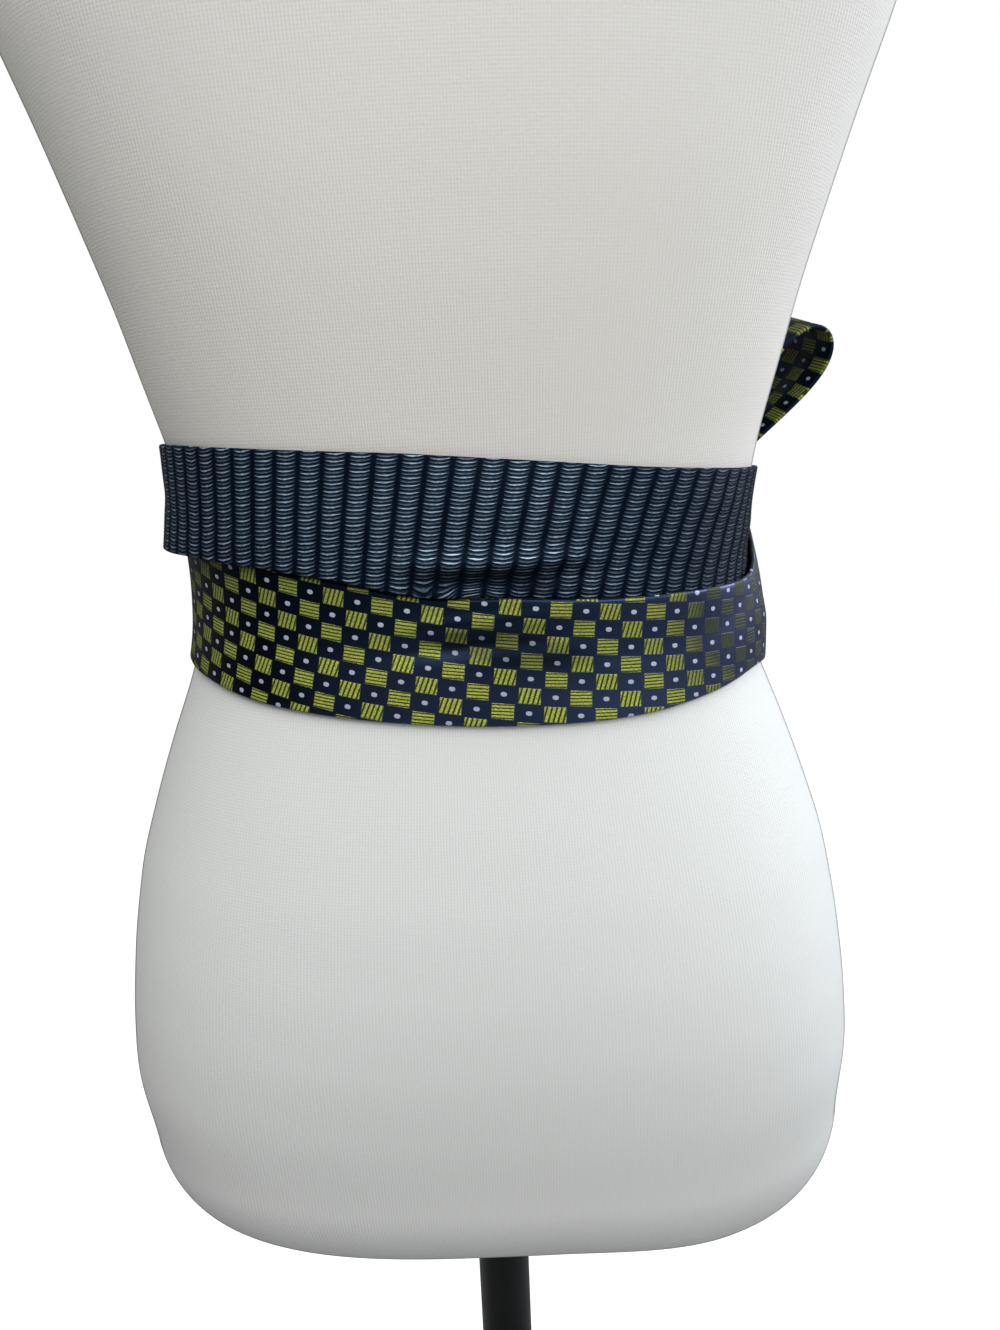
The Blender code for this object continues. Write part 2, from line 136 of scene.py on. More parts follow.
def soft_column(columns, rows, column, spacing, blur):
    """A table's column as a function without corners: its joined-up values, averaged over blur."""
    at = column_of(columns, rows, columns[0])
    places = np.arange(at[0] - 4 * blur, at[-1] + 4 * blur, spacing)
    values = np.interp(places, at, column_of(columns, rows, column))
    reach = int(3 * blur / spacing)
    weights = np.exp(-0.5 * (np.arange(-reach, reach + 1) * spacing / blur) ** 2)
    soft = np.convolve(values, weights / weights.sum(), mode="same")
    return lambda place: float(np.interp(place, places[reach:-reach], soft[reach:-reach]))


FORM_SIZE = {
    name: soft_column(FORM_COLUMNS, FORM_ROWS, name, 0.001, FORM_BLUR) for name in FORM_COLUMNS[1:]
}


def form_point(around, height):
    """The form's surface there, and its outward direction, level."""
    angle = math.radians(around)
    wide = FORM_SIZE["half_width"](height)
    back_share = 0.5 + 0.5 * math.tanh(6 * math.sin(angle))
    deep = FORM_SIZE["front"](height)
    deep += (FORM_SIZE["back"](height) - deep) * back_share
    power = FORM_SIZE["power"](height)
    across = abs(math.cos(angle))
    along = (1 - min(across, 1) ** power) ** (1 / power)
    x_way, y_way = math.copysign(1, math.cos(angle)), -math.copysign(1, math.sin(angle))
    point = Vector((x_way * across * wide, y_way * along * deep, SASH_HEIGHT + height))
    out = Vector((x_way * across ** (power - 1) / wide, y_way * along ** (power - 1) / deep, 0))
    return point, out.normalized()


def even_places(height, count):
    """Places round the form in degrees, evenly spaced along its surface."""
    fine = np.linspace(0, 360, 1441)
    points = [form_point(around, height)[0] for around in fine]
    steps = [(after - before).length for before, after in zip(points, points[1:])]
    run = np.concatenate([[0], np.cumsum(steps)])
    return np.interp(np.linspace(0, run[-1], count), run, fine)


def calc(tree, operation, first, second=None, third=None):
    """One Math node. Each term is a number or what another node puts out."""
    node = tree.nodes.new("ShaderNodeMath")
    node.operation = operation
    for socket, term in zip(node.inputs, (first, second, third)):
        if isinstance(term, (int, float)):
            socket.default_value = term
        elif term is not None:
            tree.links.new(term, socket)
    return node.outputs[0]


def blend_colours(tree, share, first, second):
    """A Mix node between two colours, each a tuple or what another node puts out."""
    node = tree.nodes.new("ShaderNodeMix")
    node.data_type = "RGBA"
    tree.links.new(share, node.inputs[0])
    for socket, colour in zip((node.inputs[6], node.inputs[7]), (first, second)):
        if isinstance(colour, tuple):
            socket.default_value = (*colour, 1)
        else:
            tree.links.new(colour, socket)
    return node.outputs[2]


def noise(tree, place, scale, detail=2.0):
    """Soft noise from 0 to 1 at that many lumps a metre."""
    node = tree.nodes.new("ShaderNodeTexNoise")
    node.inputs["Scale"].default_value = scale
    node.inputs["Detail"].default_value = detail
    tree.links.new(place, node.inputs["Vector"])
    return node.outputs["Fac"]


def step_up(tree, value, low, high):
    """0 below low, 1 above high, and smooth between. High below low turns it round."""
    node = tree.nodes.new("ShaderNodeMapRange")
    node.interpolation_type = "SMOOTHSTEP"
    node.inputs["From Min"].default_value = low
    node.inputs["From Max"].default_value = high
    tree.links.new(value, node.inputs["Value"])
    return node.outputs["Result"]


def new_finish(name, roughness, specular, sheen=0.0):
    """A material with a Principled shader, and the two."""
    material = bpy.data.materials.new(name)
    material.use_nodes = True
    shader = material.node_tree.nodes["Principled BSDF"]
    shader.inputs["Roughness"].default_value = roughness
    shader.inputs["Sheen Weight"].default_value = sheen
    shader.inputs["Specular IOR Level"].default_value = specular
    return material, shader


def bump(tree, shader, height, distance):
    """A Bump node into the shader's Normal."""
    node = tree.nodes.new("ShaderNodeBump")
    node.inputs["Distance"].default_value = distance
    tree.links.new(height, node.inputs["Height"])
    tree.links.new(node.outputs["Normal"], shader.inputs["Normal"])


jersey, jersey_shader = new_finish("form_jersey", 0.86, specular=0.25, sheen=0.12)
tree = jersey.node_tree
place = tree.nodes.new("ShaderNodeTexCoord").outputs["Object"]
axes = tree.nodes.new("ShaderNodeSeparateXYZ")
tree.links.new(place, axes.inputs[0])
angle = calc(tree, "ARCTAN2", axes.outputs["X"], calc(tree, "MULTIPLY", axes.outputs["Y"], -1.0))
wander = noise(tree, place, 14.0)
wale = calc(tree, "MULTIPLY_ADD", angle, float(JERSEY_WALES), calc(tree, "MULTIPLY", wander, 5.0))
wales = calc(tree, "MULTIPLY_ADD", calc(tree, "SINE", wale), 0.5, 0.5)
courses = calc(tree, "SINE", calc(tree, "MULTIPLY", axes.outputs["Z"], 2 * math.pi / COURSE_PITCH))
knit = calc(tree, "MULTIPLY_ADD", calc(tree, "MULTIPLY_ADD", courses, 0.5, 0.5), 0.4, wales)
slub = noise(tree, place, 900.0, 1.0)
cloud = noise(tree, place, 7.0)
tint = blend_colours(tree, cloud, *JERSEY_CLOUDS)
# Painted light and shade by height, laid over the jersey's own colour
for start, full, colour in JERSEY_LIGHT_BY_HEIGHT:
    tint = blend_colours(tree, step_up(tree, axes.outputs["Z"], start, full), tint, colour)
thread = calc(tree, "MULTIPLY_ADD", knit, 0.10, calc(tree, "MULTIPLY", slub, 0.10))
thread_light = calc(tree, "MULTIPLY_ADD", thread, 2.5, 0.35)
thread_light.node.use_clamp = True
# The knit's threads in the jersey's colour, with painted shade between them
shade = blend_colours(tree, thread_light, SHADE_BETWEEN_THREADS, tint)
# Painted shade towards the outline
turned_away = tree.nodes.new("ShaderNodeLayerWeight").outputs["Facing"]
rim = calc(tree, "MULTIPLY", step_up(tree, turned_away, RIM_FROM, RIM_FULL), RIM_SHARE)
shade = blend_colours(tree, rim, shade, RIM_SHADE)
tree.links.new(shade, jersey_shader.inputs["Base Color"])
bump(tree, jersey_shader, calc(tree, "ADD", knit, slub), 0.00005)


def add_piece(name, mesh_edit, material, sharp_degrees=80):
    """The bmesh as a finished piece on the body, smooth but for its sharp edges."""
    mesh = bpy.data.meshes.new(name)
    mesh_edit.to_mesh(mesh)
    mesh_edit.free()
    mesh.shade_smooth()
    mesh.set_sharp_from_angle(angle=math.radians(sharp_degrees))
    mesh.materials.append(material)
    piece = bpy.data.objects.new(name, mesh)
    bpy.context.scene.collection.objects.link(piece)
    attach(piece, "root")
    return piece


def settled(point):
    """The point as the foam has settled: low down it moved to the right and sags on that side."""
    ends = (0.0, 1.0)
    below = np.interp(SASH_HEIGHT + SETTLE_FROM - point.z, (0, SETTLE_FROM - FORM_BOTTOM), ends)
    right = np.interp(point.x, (SETTLE_STARTS, SETTLE_FULL), ends)
    below, right = (float(share * share * (3 - 2 * share)) for share in (below, right))
    return point + below * Vector((SETTLE_SIDEWAYS, 0, -SETTLE_DROP * right))


torso = bmesh.new()
bmesh.ops.create_grid(torso, x_segments=FORM_SIDES, y_segments=FORM_RINGS, size=0.5)
form_start = FORM_BOTTOM + BOTTOM_ROUND
form_top = FORM_ROWS[-1][0]
sides = even_places(0.0, FORM_SIDES + 1)
for vert in torso.verts:
    around = sides[round((vert.co.x + 0.5) * FORM_SIDES)]
    ring = round((vert.co.y + 0.5) * FORM_RINGS)
    if ring < ROUND_RINGS:
        turn = math.pi / 2 * max(ring - 1, 0) / (ROUND_RINGS - 1)
        point, out = form_point(around, form_start)
        point = point - out * BOTTOM_ROUND * (1 - math.sin(turn))
        point.z -= BOTTOM_ROUND * math.cos(turn)
        point.xy = point.xy * (SEAT_SHARE if ring == 0 else 1)
    else:
        share = (ring - ROUND_RINGS) / (FORM_RINGS - ROUND_RINGS)
        point = form_point(around, form_start + (form_top - form_start) * share)[0]
    vert.co = settled(point)
bmesh.ops.remove_doubles(torso, verts=torso.verts, dist=1e-5)
open_edges = [edge for edge in torso.edges if edge.is_boundary]
bmesh.ops.holes_fill(torso, edges=open_edges, sides=0)
bmesh.ops.recalc_face_normals(torso, faces=torso.faces)
form_cover = add_piece("form_jersey_cover", torso, jersey, 50)
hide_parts("form_body")

# The upper turn of the sash: a necktie's blade in nearly black blue silk, woven in upright
# columns of short pale ribs, folded flat to 45 mm and wound once round the waist.
CLOTH = 0.0018
BAND_COLUMNS = ("around", "low", "top", "low_off", "middle_off", "top_off")
RIBBED_ROWS = (
    (-39.0, 0.0430, 0.0680, 0.0006, 0.0006, 0.0006),
    (-25.0, 0.0390, 0.0715, 0.0006, 0.0006, 0.0006),
    (0.0, 0.0335, 0.0768, 0.0006, 0.0006, 0.0005),
    (15.0, 0.0335, 0.0787, 0.0006, 0.0006, 0.0005),
    (30.0, 0.0350, 0.0797, 0.0006, 0.0006, 0.0005),
    (45.0, 0.0365, 0.0815, 0.0006, 0.0007, 0.0005),
    (57.0, 0.0380, 0.0832, 0.0006, 0.0008, 0.0006),
    (68.0, 0.0402, 0.0853, 0.0008, 0.0016, 0.0008),
    (76.0, 0.0425, 0.0869, 0.0008, 0.0042, 0.0010),
    (84.0, 0.0433, 0.0884, 0.0010, 0.0056, 0.0010),
    (88.0, 0.0441, 0.0891, 0.0022, 0.0056, 0.0010),
    (95.0, 0.0444, 0.0904, 0.0040, 0.0042, 0.0010),
    (100.0, 0.0456, 0.0913, 0.0038, 0.0034, 0.0009),
    (115.0, 0.0518, 0.0929, 0.0035, 0.0026, 0.0007),
    (130.0, 0.0548, 0.0943, 0.0035, 0.0026, 0.0007),
    (148.0, 0.0568, 0.0953, 0.0058, 0.0034, 0.0007),
    (165.0, 0.0562, 0.0950, 0.0094, 0.0048, 0.0007),
    (180.0, 0.0552, 0.0944, 0.0112, 0.0058, 0.0008),
    (200.0, 0.0525, 0.0930, 0.0090, 0.0048, 0.0010),
    (230.0, 0.0480, 0.0905, 0.0060, 0.0036, 0.0012),
    (270.0, 0.0440, 0.0870, 0.0048, 0.0036, 0.0016),
    (300.0, 0.0425, 0.0790, 0.0040, 0.0037, 0.0028),
    (319.0, 0.0430, 0.0680, 0.0036, 0.0036, 0.0034),
)
# Creases, the deepest two being the crumple's: the middle's place round the form in degrees and
# height in metres, the length and breadth in metres, the lean in degrees and the lift in metres,
# which is negative for a trough.
RIBBED_CREASES = (
    (84.0, 0.0492, 0.026, 0.0030, -2.0, -0.0040),
    (86.0, 0.0560, 0.026, 0.0030, 0.0, 0.0050),
    (94.0, 0.0446, 0.012, 0.0026, -14.0, 0.0028),
    (66.0, 0.0640, 0.030, 0.0050, 14.0, 0.0006),
    (110.0, 0.0700, 0.030, 0.0070, 10.0, 0.0005),
    (60.0, 0.0560, 0.024, 0.0040, 20.0, -0.0006),
    (40.0, 0.0700, 0.030, 0.0060, 8.0, 0.0005),
    (20.0, 0.0560, 0.022, 0.0050, -6.0, 0.0006),
    (165.0, 0.0760, 0.020, 0.0060, 12.0, -0.0005),
    (140.0, 0.0600, 0.030, 0.0060, -8.0, 0.0005),
    (215.0, 0.0700, 0.030, 0.0060, 7.0, 0.0006),
    (255.0, 0.0600, 0.030, 0.0050, -9.0, -0.0005),
    (290.0, 0.0640, 0.026, 0.0050, 10.0, 0.0006),
    (-15.0, 0.0560, 0.022, 0.0050, 8.0, 0.0005),
)
BAND_STEPS = 420
BAND_BLUR = 2.5
ARC_HEIGHT = 0.020
ARC_STANDOFF = 0.003
RIB_PITCH = 0.0082
RIB_PERIOD = 0.0024


def fold_stations(front_steps, edge_steps, back_steps):
    """Stations round a flattened tube: the share across, the edge's roll and the share out."""
    stations = []
    for step in range(edge_steps):
        turn = math.pi * step / edge_steps
        stations.append((0.0, -math.sin(turn), 0.5 - 0.5 * math.cos(turn)))
    for step in range(front_steps):
        stations.append((step / front_steps, 0.0, 1.0))
    for step in range(edge_steps):
        turn = math.pi * step / edge_steps
        stations.append((1.0, math.sin(turn), 0.5 + 0.5 * math.cos(turn)))
    for step in range(back_steps + 1):
        stations.append((1 - step / back_steps, 0.0, 0.0))
    return stations


STATIONS = fold_stations(34, 6, 10)
ARC_PLACES = np.linspace(-60, 340, 1601)
ARC_SURFACE = [form_point(around, ARC_HEIGHT) for around in ARC_PLACES]
ARC_POINTS = [point + out * ARC_STANDOFF for point, out in ARC_SURFACE]
ARC_STEPS = [(after - before).length for before, after in zip(ARC_POINTS, ARC_POINTS[1:])]
ARC_RUN = np.concatenate([[0], np.cumsum(ARC_STEPS)])
ARC_RUN -= np.interp(90, ARC_PLACES, ARC_RUN)


def arc_of(around):
    """Metres round the waist from the middle of the back, towards the left side."""
    return float(np.interp(around, ARC_PLACES, ARC_RUN))


def crease_lift(creases, arc, height):
    """How far the creases lift the cloth there."""
    lift = 0.0
    for around, middle, length, breadth, lean, most in creases:
        across, up = arc - arc_of(around), height - middle
        turn = math.radians(lean)
        along = across * math.cos(turn) + up * math.sin(turn)
        aside = up * math.cos(turn) - across * math.sin(turn)
        lift += most * math.exp(-((along / length) ** 2) - (aside / breadth) ** 2)
    return lift


def wind_band(name, rows, creases, threads_at, material):
    """One turn of folded cloth wound round the form, with its weave's own map."""
    keys = BAND_COLUMNS[1:]
    size = {key: soft_column(BAND_COLUMNS, rows, key, 0.5, BAND_BLUR) for key in keys}
    arc_from, arc_to = arc_of(rows[0][0]), arc_of(rows[-1][0])
    radius = CLOTH / 2
    band = bmesh.new()
    bmesh.ops.create_grid(band, x_segments=BAND_STEPS, y_segments=len(STATIONS) - 1, size=0.5)
    threads = {}
    cross = {}
    for step in range(BAND_STEPS + 1):
        arc = arc_from + (arc_to - arc_from) * step / BAND_STEPS
        around = float(np.interp(arc, ARC_RUN, ARC_PLACES))
        cross[step] = (arc, around, {key: size[key](around) for key in keys})
    for vert in band.verts:
        arc, around, edge = cross[round((vert.co.x + 0.5) * BAND_STEPS)]
        share, roll, lift = STATIONS[round((vert.co.y + 0.5) * (len(STATIONS) - 1))]
        low, top = edge["low"] + radius, edge["top"] - radius
        height = low + (top - low) * share
        off = edge["low_off"] * (1 - share) * (1 - 2 * share)
        off += edge["top_off"] * share * (2 * share - 1)
        off += edge["middle_off"] * 4 * share * (1 - share)
        off += crease_lift(creases, arc, height) * min(1, 4 * share + 0.25, 4.25 - 4 * share)
        point, out = form_point(around, height)
        vert.co = point + out * (off + CLOTH * lift) + Vector((0, 0, radius * roll))
        unrolled = height + radius * roll if lift > 0.3 else 2 * top - height + math.pi * radius
        threads[vert] = threads_at(arc, unrolled)
    weave_map = band.loops.layers.uv.new("threads")
    for face in band.faces:
        for loop in face.loops:
            loop[weave_map].uv = threads[loop.vert]
    bmesh.ops.remove_doubles(band, verts=band.verts, dist=1e-6)
    bmesh.ops.holes_fill(band, edges=[edge for edge in band.edges if edge.is_boundary], sides=0)
    bmesh.ops.recalc_face_normals(band, faces=band.faces)
    return add_piece(name, band, material)


def new_group(name, inputs, outputs):
    """An empty shader node group with these sockets, and its first and last node."""
    group = bpy.data.node_groups.new(name, "ShaderNodeTree")
    for socket, kind in inputs.items():
        group.interface.new_socket(socket, in_out="INPUT", socket_type=kind)
    for socket, kind in outputs.items():
        group.interface.new_socket(socket, in_out="OUTPUT", socket_type=kind)
    return group, group.nodes.new("NodeGroupInput"), group.nodes.new("NodeGroupOutput")


def product(tree, *terms):
    """The terms multiplied together."""
    total = terms[0]
    for term in terms[1:]:
        total = calc(tree, "MULTIPLY", total, term)
    return total


# Columns of ribs: each rib is a shallow smile of pale weft with a bright lowest thread, and each
# column is half a rib up from the next.
rib_weave, given, put_out = new_group(
    "rib_weave",
    {"Threads": "NodeSocketVector"},
    {"Body": "NodeSocketFloat", "Glint": "NodeSocketFloat", "Height": "NodeSocketFloat"},
)
axes = rib_weave.nodes.new("ShaderNodeSeparateXYZ")
rib_weave.links.new(given.outputs["Threads"], axes.inputs[0])
column_place = calc(rib_weave, "DIVIDE", axes.outputs["X"], RIB_PITCH)
column = calc(rib_weave, "FLOOR", column_place)
aside = calc(rib_weave, "SUBTRACT", calc(rib_weave, "SUBTRACT", column_place, column), 0.5)
wobble = noise(rib_weave, given.outputs["Threads"], 420.0, 1.0)
rib_place = calc(rib_weave, "DIVIDE", axes.outputs["Y"], RIB_PERIOD)
every_other = calc(rib_weave, "MODULO", column, 2.0)
rib_place = calc(rib_weave, "MULTIPLY_ADD", every_other, 0.5, rib_place)
rib_place = calc(rib_weave, "MULTIPLY_ADD", wobble, 0.16, rib_place)
smile = product(rib_weave, aside, aside, 1.25)
rib_place = calc(rib_weave, "SUBTRACT", rib_place, smile)
period = calc(rib_weave, "FRACT", rib_place)
rib = calc(rib_weave, "FRACT", calc(rib_weave, "MULTIPLY", rib_place, 2.0))
strong = calc(rib_weave, "LESS_THAN", period, 0.5)
offside = calc(rib_weave, "ABSOLUTE", aside)
ragged = noise(rib_weave, given.outputs["Threads"], 1300.0, 1.0)
ragged = calc(rib_weave, "MULTIPLY_ADD", ragged, 0.10, offside)
body = product(
    rib_weave,
    step_up(rib_weave, rib, 0.02, 0.20),
    step_up(rib_weave, rib, 0.92, 0.55),
    step_up(rib_weave, ragged, 0.50, 0.38),
)
taper = calc(rib_weave, "MULTIPLY", ragged, 1 / 0.50)
taper = calc(rib_weave, "SUBTRACT", 1.0, calc(rib_weave, "MULTIPLY", taper, taper))
taper.node.use_clamp = True
from_line = calc(rib_weave, "ABSOLUTE", calc(rib_weave, "SUBTRACT", rib, 0.30))
line = step_up(rib_weave, calc(rib_weave, "MULTIPLY_ADD", taper, -0.27, from_line), 0.0, -0.12)
uneven = step_up(rib_weave, noise(rib_weave, given.outputs["Threads"], 900.0, 1.0), 0.25, 0.75)
glint = product(
    rib_weave,
    line,
    calc(rib_weave, "MULTIPLY_ADD", strong, 0.70, 0.30),
    calc(rib_weave, "MULTIPLY_ADD", uneven, 0.75, 0.45),
)
rib_weave.links.new(body, put_out.inputs["Body"])
rib_weave.links.new(glint, put_out.inputs["Glint"])
rib_weave.links.new(calc(rib_weave, "MULTIPLY_ADD", line, 0.5, body), put_out.inputs["Height"])


def place_group(tree, group):
    """The group in a material, reading the piece's own map of its threads."""
    node = tree.nodes.new("ShaderNodeGroup")
    node.node_tree = group
    uv_map = tree.nodes.new("ShaderNodeUVMap")
    uv_map.uv_map = "threads"
    tree.links.new(uv_map.outputs["UV"], node.inputs["Threads"])
    return node.outputs, uv_map.outputs["UV"]


def soft_patch(tree, axes, middle, reach, slope):
    """1 at the middle of a sloping oval patch of the threads' map, fading to 0 at its rim."""
    across = calc(tree, "SUBTRACT", axes.outputs["X"], middle[0])
    up = calc(tree, "SUBTRACT", axes.outputs["Y"], middle[1])
    up = calc(tree, "MULTIPLY_ADD", across, -slope, up)
    squares = []
    for offset, half in zip((across, up), reach):
        share = calc(tree, "DIVIDE", offset, half)
        squares.append(calc(tree, "MULTIPLY", share, share))
    return step_up(tree, calc(tree, "ADD", *squares), 1.0, 0.1)


# The crumple's trough, darkened with painted shade, and its ridge, lit with a painted highlight, as
# patches of the threads' map: middle, reach and slope
TROUGH_SHADE_PATCH = ((-0.0115, -0.0184), (0.0340, 0.0046), 0.06)
RIDGE_HIGHLIGHT_PATCH = ((-0.0060, -0.0105), (0.0280, 0.0060), 0.03)
# Along the threads' map, in metres from the middle of the back: where each part starts and is full,
# the right half and the far right being darkened with painted shade
SHADED_RIGHT_HALF = (-0.015, -0.070)
SHADED_FAR_RIGHT = (-0.055, -0.100)
ON_BACK = (-0.185, -0.145)
RIBBED_GROUND = ((0.0012, 0.0040, 0.0100), (0.0022, 0.0062, 0.0145))
RIB_BODY = (0.016, 0.032, 0.056)
RIB_GLINT = (0.370, 0.480, 0.600)

ribbed_silk, silk_shader = new_finish("ribbed_silk", 0.45, specular=0.02)
tree = ribbed_silk.node_tree
ribs, threads_place = place_group(tree, rib_weave)
ground = blend_colours(tree, noise(tree, threads_place, 60.0), *RIBBED_GROUND)
axes = tree.nodes.new("ShaderNodeSeparateXYZ")
tree.links.new(threads_place, axes.inputs[0])
shaded_far_right = step_up(tree, axes.outputs["X"], *SHADED_FAR_RIGHT)
shaded_far_right = calc(tree, "MULTIPLY", shaded_far_right, step_up(tree, axes.outputs["X"], *ON_BACK))
# Painted light and shade over the ribs' colour: painted shade over the right, where the silk turns
# away from the view and in the crumple's trough, and a painted highlight on its ridge
painted_light_changes = (
    (step_up(tree, axes.outputs["X"], *SHADED_RIGHT_HALF), -0.27),
    (shaded_far_right, -0.52),
    (tree.nodes.new("ShaderNodeLayerWeight").outputs["Facing"], -0.45),
    (soft_patch(tree, axes, *TROUGH_SHADE_PATCH), -0.70),
    (soft_patch(tree, axes, *RIDGE_HIGHLIGHT_PATCH), 0.35),
)
painted_light = [calc(tree, "MULTIPLY_ADD", part, change, 1.0) for part, change in painted_light_changes]
painted_light = product(tree, *painted_light)
colour = blend_colours(tree, product(tree, ribs["Body"], painted_light, 0.85), ground, RIB_BODY)
colour = blend_colours(tree, product(tree, ribs["Glint"], painted_light), colour, RIB_GLINT)
tree.links.new(colour, silk_shader.inputs["Base Color"])
tree.links.new(calc(tree, "MULTIPLY", ribs["Body"], 0.25), silk_shader.inputs["Metallic"])
roughness = calc(tree, "MULTIPLY_ADD", ribs["Body"], -0.06, 0.48)
tree.links.new(roughness, silk_shader.inputs["Roughness"])
bump(tree, silk_shader, ribs["Height"], 0.00016)


def rib_threads(arc, height):
    """Where the ribs lie: the strip leans on the waist, and its rows droop at both sides.

    A fit to the photo's ribs, in millimetres round the back and up from the strip's middle line.
    The row's last term swings them into the crumple.
    """
    s, z = arc * 1000, height * 1000 - 68
    side = min(max(s, -95.0), 95.0)
    column = -0.241 + 0.1216 * s + 0.02504 * z + 2.43e-5 * side**2 - 7.22e-5 * side * z
    column += -1.78e-7 * side**3 + 5.8e-7 * side**2 * z
    row = -0.372 + 0.4150 * z - 0.01016 * s + 2.22e-4 * side**2 - 1.965e-4 * side * z
    row += 6.5e-4 * z * z + 1.02e-6 * side**3 - 2.82e-6 * side**2 * z
    from_crumple, above_crumple = s - 5, z + 23.5
    near_crumple = math.exp(-((from_crumple / 12) ** 2) - (above_crumple / 4) ** 2)
    row += 0.22 * from_crumple * near_crumple
    return (column + 0.5) * RIB_PITCH, (row + 0.08) * RIB_PERIOD


ribbed_sash = wind_band("ribbed_sash", RIBBED_ROWS, RIBBED_CREASES, rib_threads, ribbed_silk)
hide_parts("ribbed_wrap")

# The lower turn of the sash: a second blade in dark blue satin, checked with olive squares of two
# hatchings and a silver dot in each blue square. Right of the middle its folded edge lies over
# the ribbed turn.
CHECK_ROWS = (
    (-39.0, 0.0410, 0.0700, 0.0036, 0.0036, 0.0034),
    (-25.0, 0.0270, 0.0690, 0.0038, 0.0042, 0.0036),
    (-10.0, 0.0090, 0.0630, 0.0024, 0.0056, 0.0036),
    (0.0, 0.0015, 0.0560, 0.0014, 0.0062, 0.0036),
    (8.0, 0.0018, 0.0478, 0.0010, 0.0060, 0.0036),
    (14.0, 0.0032, 0.0426, 0.0008, 0.0054, 0.0036),
    (20.0, 0.0048, 0.0402, 0.0007, 0.0046, 0.0036),
    (27.0, 0.0055, 0.0396, 0.0006, 0.0038, 0.0036),
    (35.0, 0.0043, 0.0397, 0.0006, 0.0032, 0.0035),
    (45.0, 0.0026, 0.0402, 0.0006, 0.0028, 0.0034),
    (58.0, 0.0002, 0.0408, 0.0006, 0.0025, 0.0034),
    (69.0, -0.0003, 0.0417, 0.0006, 0.0024, 0.0035),
    (76.0, -0.0002, 0.0428, 0.0006, 0.0024, 0.0036),
    (84.0, 0.0001, 0.0436, 0.0006, 0.0023, 0.0034),
    (88.0, 0.0004, 0.0436, 0.0006, 0.0022, 0.0028),
    (95.0, 0.0012, 0.0439, 0.0006, 0.0021, 0.0018),
    (100.0, 0.0020, 0.0450, 0.0006, 0.0021, 0.0014),
    (115.0, 0.0046, 0.0510, 0.0006, 0.0018, 0.0012),
    (130.0, 0.0074, 0.0545, 0.0006, 0.0014, 0.0012),
    (148.0, 0.0119, 0.0570, 0.0007, 0.0013, 0.0013),
    (163.0, 0.0137, 0.0576, 0.0008, 0.0015, 0.0014),
    (180.0, 0.0130, 0.0572, 0.0007, 0.0016, 0.0014),
    (220.0, 0.0090, 0.0545, 0.0006, 0.0012, 0.0010),
    (270.0, 0.0060, 0.0530, 0.0006, 0.0008, 0.0008),
    (300.0, 0.0200, 0.0600, 0.0006, 0.0008, 0.0008),
    (319.0, 0.0410, 0.0680, 0.0006, 0.0006, 0.0006),
)
CHECK_CREASES = (
    (90.0, 0.0286, 0.028, 0.0040, -4.0, -0.0021),
    (88.0, 0.0362, 0.026, 0.0036, -4.0, 0.0014),
    (92.0, 0.0195, 0.026, 0.0060, -4.0, 0.0003),
    (70.0, 0.0180, 0.030, 0.0060, 10.0, 0.0004),
    (45.0, 0.0260, 0.030, 0.0060, -8.0, -0.0004),
    (130.0, 0.0200, 0.035, 0.0060, 12.0, 0.0004),
    (200.0, 0.0280, 0.035, 0.0060, -8.0, 0.0004),
    (245.0, 0.0220, 0.030, 0.0060, 10.0, -0.0003),
    (10.0, 0.0200, 0.024, 0.0060, 12.0, 0.0005),
)
CHECK_STEP = (0.0086, 0.0061)
SQUARE_HALF = (0.425, 0.445)
DOT_HALF = (0.122, 0.128)
DOT_POWER = 2.4


def check_threads(arc, height):
    """Where the check's threads lie: the strip leans on the waist and its rows droop sideways.

    A fit to the photo's squares, in millimetres round the back and up.
    """
    s, z = arc * 1000, height * 1000
    bend = s * s / (1 + (s / 150) ** 2)
    row = 0.088 + 0.1178 * s + 0.01395 * z - 3.8e-5 * s * z
    rank = -4.192 - 0.0258 * s + 0.1667 * z - 9.7e-5 * bend
    return row * CHECK_STEP[0], rank * CHECK_STEP[1]


check_weave, given, put_out = new_group(
    "check_weave",
    {"Threads": "NodeSocketVector"},
    {
        "Square": "NodeSocketFloat",
        "Hatch": "NodeSocketFloat",
        "Dot": "NodeSocketFloat",
        "Height": "NodeSocketFloat",
    },
)
axes = check_weave.nodes.new("ShaderNodeSeparateXYZ")
check_weave.links.new(given.outputs["Threads"], axes.inputs[0])
across = calc(check_weave, "DIVIDE", axes.outputs["X"], CHECK_STEP[0])
up = calc(check_weave, "DIVIDE", axes.outputs["Y"], CHECK_STEP[1])
rough_edge = noise(check_weave, given.outputs["Threads"], 1500.0, 1.0)
rough_edge = calc(check_weave, "MULTIPLY_ADD", rough_edge, 0.06, -0.03)
cell_x, cell_y = calc(check_weave, "ROUND", across), calc(check_weave, "ROUND", up)
in_x = calc(check_weave, "SUBTRACT", across, cell_x)
in_y = calc(check_weave, "SUBTRACT", up, cell_y)
both = calc(check_weave, "ADD", cell_x, cell_y)
apart = calc(check_weave, "SUBTRACT", cell_x, cell_y)
is_blue = calc(check_weave, "PINGPONG", both, 1.0)
is_square = calc(check_weave, "SUBTRACT", 1.0, is_blue)
is_level = calc(check_weave, "PINGPONG", calc(check_weave, "MULTIPLY", apart, 0.5), 1.0)
off_x, off_y = calc(check_weave, "ABSOLUTE", in_x), calc(check_weave, "ABSOLUTE", in_y)
from_x = calc(check_weave, "ADD", off_x, rough_edge)
from_y = calc(check_weave, "ADD", off_y, rough_edge)
